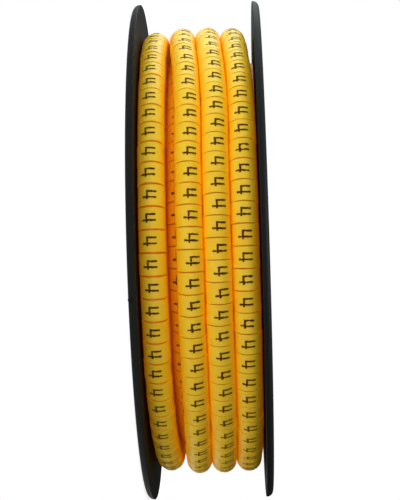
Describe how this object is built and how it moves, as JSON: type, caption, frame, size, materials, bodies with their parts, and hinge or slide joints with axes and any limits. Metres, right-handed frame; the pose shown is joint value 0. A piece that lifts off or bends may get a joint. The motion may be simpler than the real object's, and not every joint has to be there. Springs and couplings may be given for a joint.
{
  "type": "reel of cable marker sleeves",
  "caption": "Full reel of soft yellow cable marker sleeves: a strip cut into short printed sleeves, wound in touching turns between two thin black plastic flanges.",
  "frame": {"origin": "centre of the lower flange's outer face, on which the reel stands", "axes": "+Z along the reel's axis, up; -Y towards the side that the picture shows"},
  "size_m": [0.125, 0.125, 0.031],
  "materials": {
    "reel": "black moulded plastic, satin",
    "strip": "soft yellow plastic, slightly translucent, satin, printed in black"
  },
  "bodies": {
    "root": {"reel_half_lower": "reel", "reel_half_upper": "reel", "marker_strip": "strip"}
  },
  "joints": []
}
